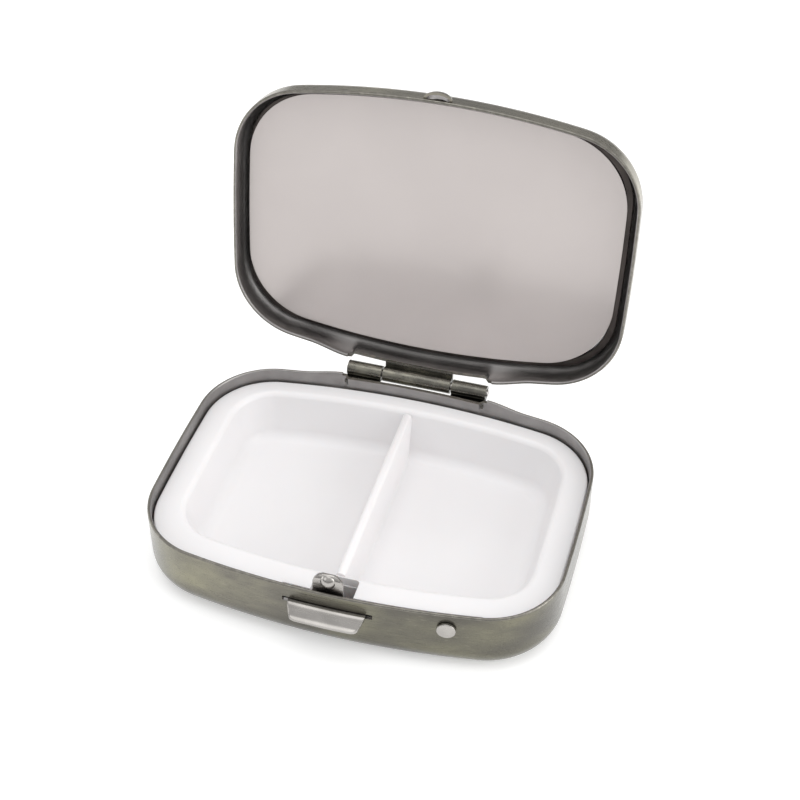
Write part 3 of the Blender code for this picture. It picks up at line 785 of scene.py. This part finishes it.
def latch_rivet():
    """Flat head outside, shank through the wall and the strip, clenched tail inside."""
    stand = 0.08 * MM
    inner = SHEET + STRIP_GAP + STRIP_SHEET + 0.12 * MM
    edge = 0.12 * MM
    top = RIVET_HEAD_THICKNESS + stand
    profile = [(0, top)]
    for turn in arc(90, 0, 5):
        profile.append((RIVET_HEAD - edge * (1 - math.cos(turn)), top - edge * (1 - math.sin(turn))))
    profile += [(RIVET_HEAD, stand), (RIVET_SHANK, stand), (RIVET_SHANK, -inner), (RIVET_TAIL, -inner)]
    profile += [(RIVET_TAIL, -inner - RIVET_TAIL_THICKNESS), (0, -inner - RIVET_TAIL_THICKNESS)]
    return lathe("latch_rivet_fine", profile, 56, rivet_frame())


def latch_tongue(inset):
    """Upright tongue with a rounded top that leans back, and its foot in the strip."""
    front = front_wall_y(0, inset)
    steps = 20
    round_start = TONGUE_BEND - 0.9 * MM
    heights = [STRIP_LOW + 0.3 * MM]
    heights += [round_start + (TONGUE_TOP - round_start) * step / steps for step in range(steps + 1)]
    rings = []
    for z in heights:
        rise = max(z - TONGUE_BEND, 0) / (TONGUE_TOP - TONGUE_BEND)
        shoulder = max(z - round_start, 0) / (TONGUE_TOP - round_start + 0.05 * MM)
        half = TONGUE_HALF * math.sqrt(1 - 0.93 * shoulder ** 3)
        y = front + TONGUE_LEAN * rise ** 1.5
        behind = y + STRIP_SHEET
        rings.append([(-half, y, z), (half, y, z), (half, behind, z), (-half, behind, z)])
    return add_object("tongue", loft(rings), STEEL)


def latch_nub(inset):
    """Dimple on the tongue's front: a cap of a sphere."""
    ball = (NUB_RADIUS ** 2 + NUB_HEIGHT ** 2) / (2 * NUB_HEIGHT)
    front = front_wall_y(0, inset)
    centre = Matrix.Translation((0, front - NUB_HEIGHT + ball, NUB_Z))
    place = centre @ Matrix.Rotation(math.pi / 2, 4, "X")
    bm = bmesh.new()
    bmesh.ops.create_uvsphere(bm, u_segments=64, v_segments=48, radius=ball, matrix=place)
    behind = (0, front + 0.5 * STRIP_SHEET, 0)
    cut = bmesh.ops.bisect_plane(bm, geom=bm.verts[:] + bm.edges[:] + bm.faces[:], dist=1e-7,
                                 plane_co=behind, plane_no=(0, 1, 0), clear_outer=True)
    rim = [item for item in cut["geom_cut"] if isinstance(item, bmesh.types.BMEdge)]
    bmesh.ops.contextual_create(bm, geom=rim)
    return add_object("nub", bm, STEEL)


def tab_spine(inset):
    """(distance in front of the wall, drop, half width) of the thumb tab, root to tip."""
    straight = 0.35 * MM
    tip_radius = 0.5 * MM
    spine = [(-inset - 0.1 * MM, 0, TAB_HALF), (straight, 0, TAB_HALF)]
    steps = 16
    for step in range(1, steps + 1):
        along = step / steps
        out = straight + (TAB_REACH - straight) * along
        drop = TAB_DROP * (0.25 * along + 0.75 * smooth_step(along))
        corner = max(out - (TAB_REACH - tip_radius), 0) / tip_radius
        taper = 0.12 * TAB_HALF * smooth_step(along)
        half = TAB_HALF - taper - (0.88 * TAB_HALF - TAB_TIP_HALF) * (1 - math.sqrt(1 - corner ** 2))
        spine.append((out, drop, half))
    return spine


def thumb_tab(inset):
    """Tab that leaves the strip through the slot, then slopes out and down to a rounded tip."""
    columns = 40
    rings = []
    for out, drop, half in tab_spine(inset):
        across = [half * (2 * column / columns - 1) for column in range(columns + 1)]
        top = [(x, front_wall_y(x) - out, TAB_Z - drop + TAB_THICKNESS / 2) for x in across]
        under = [(x, y, z - TAB_THICKNESS) for x, y, z in reversed(top)]
        rings.append(top + under)
    return add_object("tab", loft(rings), STEEL)


def latch_spring():
    inset = SHEET + STRIP_GAP
    stations = [STRIP_LEFT + (STRIP_RIGHT - STRIP_LEFT) * step / 48 for step in range(49)]
    plan = [(x, front_wall_y(x, inset)) for x in stations]
    plan += [(x, front_wall_y(x, inset + STRIP_SHEET)) for x in reversed(stations)]
    rings = [[(x, y, z) for x, y in plan] for z in (STRIP_LOW, STRIP_HIGH)]
    strip = add_object("latch_spring_fine", loft(rings), STEEL)
    boolean(strip, latch_tongue(inset), "UNION")
    boolean(strip, latch_nub(inset), "UNION")
    boolean(strip, thumb_tab(inset), "UNION")
    boolean(strip, rivet_cutter("strip_hole", RIVET_SHANK + RIVET_CLEARANCE, STEEL), "DIFFERENCE")
    soften_edges(strip, 0.06 * MM, 2, 50)
    return strip


# ---------------------------------------------------------------- hinge pin and mirror stack


def hinge_pin():
    """Plain rod with its ends rounded over."""
    round_over = 0.15 * MM
    profile = [(0, -PIN_HALF_LENGTH)]
    for turn in arc(-90, 0, 5):
        profile.append((PIN_RADIUS - round_over * (1 - math.cos(turn)),
                        -PIN_HALF_LENGTH + round_over * (1 + math.sin(turn))))
    profile += [(radius, -height) for radius, height in reversed(profile)]
    place = Matrix.Translation((0, HINGE_Y, HINGE_Z)) @ Matrix.Rotation(math.pi / 2, 4, "Y")
    return lathe("hinge_pin_fine", profile, 40, place)


def lid_bezel():
    """Ring with a rounded flat lip, seated in the lid's inner corner, that holds the mirror's edge."""
    front = LID_RIM_Z + BEZEL_DEPTH
    sections = [(1.5, 0.55), (1.35, 0.16)]
    sections += [(1.35 + 0.1 * (1 - math.cos(t)), 0.1 - 0.1 * math.sin(t)) for t in arc(0, 90, 5)]
    sections += [(2.16 + 0.14 * math.sin(t), 0.14 * (1 - math.cos(t))) for t in arc(0, 90, 6)]
    sections += [(2.3, 0.28), (1.85, 0.3), (1.7, 0.55)]
    rings = [level_ring(inset * MM, front + depth * MM) for inset, depth in sections]
    return add_object("lid_bezel_fine", loft(rings, closed=True), BEZEL)


def plate(name, inset, low, high, material, stations=STATIONS, shift=(0, 0)):
    """Flat plate with eased edges."""
    ease = 0.2 * (high - low)
    sections = [(inset + ease, low), (inset, low + ease), (inset, high - ease), (inset + ease, high)]
    rings = [level_ring(*section, stations, shift) for section in sections]
    return add_object(name, loft(rings), material)


def swing_open(thing):
    """Turn a piece drawn in the shut lid about the hinge axis to the open rest pose."""
    axis = Matrix.Translation((0, HINGE_Y, HINGE_Z))
    thing.data.transform(axis @ Matrix.Rotation(-LID_OPEN, 4, "X") @ axis.inverted())
    return thing


# ---------------------------------------------------------------- scene


def lid_plate(name, inset, depth, thickness, material, *shape):
    """Plate at a depth behind the lid's rim, swung open with the lid."""
    low = LID_RIM_Z + depth
    return swing_open(plate(name, inset, low, low + thickness, material, *shape))


def place_pieces():
    made = [
        (base_shell(), "base", "base_shell", "antique_brass"),
        (pill_tray(), "base", "pill_tray", "white_plastic"),
        (hinge_pin(), "base", "hinge_pin", "nickel_steel"),
        (latch_rivet(), "base", "latch_rivet", "nickel_steel"),
        (latch_spring(), "latch", "latch_spring", "nickel_steel"),
        (swing_open(lid_shell()), "lid", "lid_shell", "antique_brass"),
        (swing_open(lid_bezel()), "lid", "lid_bezel", "dark_bezel"),
        (lid_plate("mirror_film_fine", 0, FILM_DEPTH, FILM_THICKNESS, FILM, FILM_STATIONS, FILM_SHIFT),
         "lid", "mirror_film", "matte_film"),
        (lid_plate("lid_mirror_fine", MIRROR_INSET, MIRROR_DEPTH, MIRROR_THICKNESS, MIRROR),
         "lid", "lid_mirror", "mirror_glass"),
        (lid_plate("mirror_pad_fine", PAD_INSET, PAD_DEPTH, PAD_THICKNESS, CARD),
         "lid", "mirror_pad", "grey_card")]
    for piece, body, node, slot in made:
        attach(piece, body)
        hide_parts(node)


def floor():
    bm = bmesh.new()
    bmesh.ops.create_grid(bm, x_segments=1, y_segments=1, size=3)
    shader = Shader("studio_floor", (0.93, 0.93, 0.93), 0.9)
    shader.feed("Base Color", shader.ramp(shader.noise(8, 2), (0.3, 0.925), (0.7, 0.935)))
    shader.set("Emission Color", (1, 1, 1, 1))
    shader.set("Emission Strength", 0.29)
    ground = add_object("studio_floor", bm, shader.material)
    ground.location.z = -0.02 * MM


def area_light(name, place, aim, size, energy, colour=(1, 1, 1)):
    light = bpy.data.lights.new(name, "AREA")
    light.shape = "RECTANGLE"
    light.size, light.size_y = size
    light.energy = energy
    light.color = colour
    thing = bpy.data.objects.new(name, light)
    thing.location = place
    thing.rotation_mode = "QUATERNION"
    thing.rotation_quaternion = (Vector(aim) - Vector(place)).to_track_quat("-Z", "Y")
    bpy.context.scene.collection.objects.link(thing)


def lights():
    """Soft box overhead, a dimmer one on the right, and a white surround that darkens to the horizon."""
    world = bpy.data.worlds.new("studio")
    bpy.context.scene.world = world
    world.use_nodes = True
    nodes, links = world.node_tree.nodes, world.node_tree.links
    place = nodes.new("ShaderNodeTexCoord")
    split = nodes.new("ShaderNodeSeparateXYZ")
    fade = nodes.new("ShaderNodeMapRange")
    fade.inputs["From Min"].default_value = 0.0
    fade.inputs["From Max"].default_value = 0.6
    fade.inputs["To Min"].default_value = 0.35
    fade.inputs["To Max"].default_value = 1.0
    links.new(place.outputs["Generated"], split.inputs["Vector"])
    links.new(split.outputs["Z"], fade.inputs["Value"])
    links.new(fade.outputs["Result"], nodes["Background"].inputs["Color"])
    nodes["Background"].inputs["Strength"].default_value = 0.8
    area_light("overhead", (0, 0.05, 0.6), (0, 0, 0), (0.6, 0.6), 1.3)
    area_light("right_side", (0.5, -0.1, 0.3), (0, 0, 0.01), (0.3, 0.4), 0.8)
    area_light("left_front", (-0.4, -0.4, 0.35), (0, 0, 0.01), (0.3, 0.3), 0.3)
    area_light("right_low", (0.42, 0.02, 0.09), (0, 0, 0.01), (0.3, 0.16), 0.5)
    area_light("left_low", (-0.42, 0.02, 0.09), (0, 0, 0.01), (0.3, 0.16), 0.3)


def camera():
    """Camera on a sphere around the aim point, with the small roll of the main view."""
    azimuth, elevation = math.radians(AZIMUTH), math.radians(ELEVATION)
    back = Vector((math.sin(azimuth) * math.cos(elevation), -math.cos(azimuth) * math.cos(elevation),
                   math.sin(elevation)))
    data = bpy.data.cameras.new("camera")
    data.lens = LENS
    data.sensor_width = 36
    data.clip_start, data.clip_end = 0.01, 20
    thing = bpy.data.objects.new("camera", data)
    thing.rotation_mode = "QUATERNION"
    roll = Matrix.Rotation(math.radians(ROLL), 4, "Z").to_quaternion()
    thing.rotation_quaternion = (-back).to_track_quat("-Z", "Y") @ roll
    thing.location = Vector(AIM) + back * DISTANCE
    bpy.context.scene.collection.objects.link(thing)
    bpy.context.scene.camera = thing


place_pieces()
floor()
lights()
camera()
bpy.context.scene.view_settings.view_transform = "Standard"
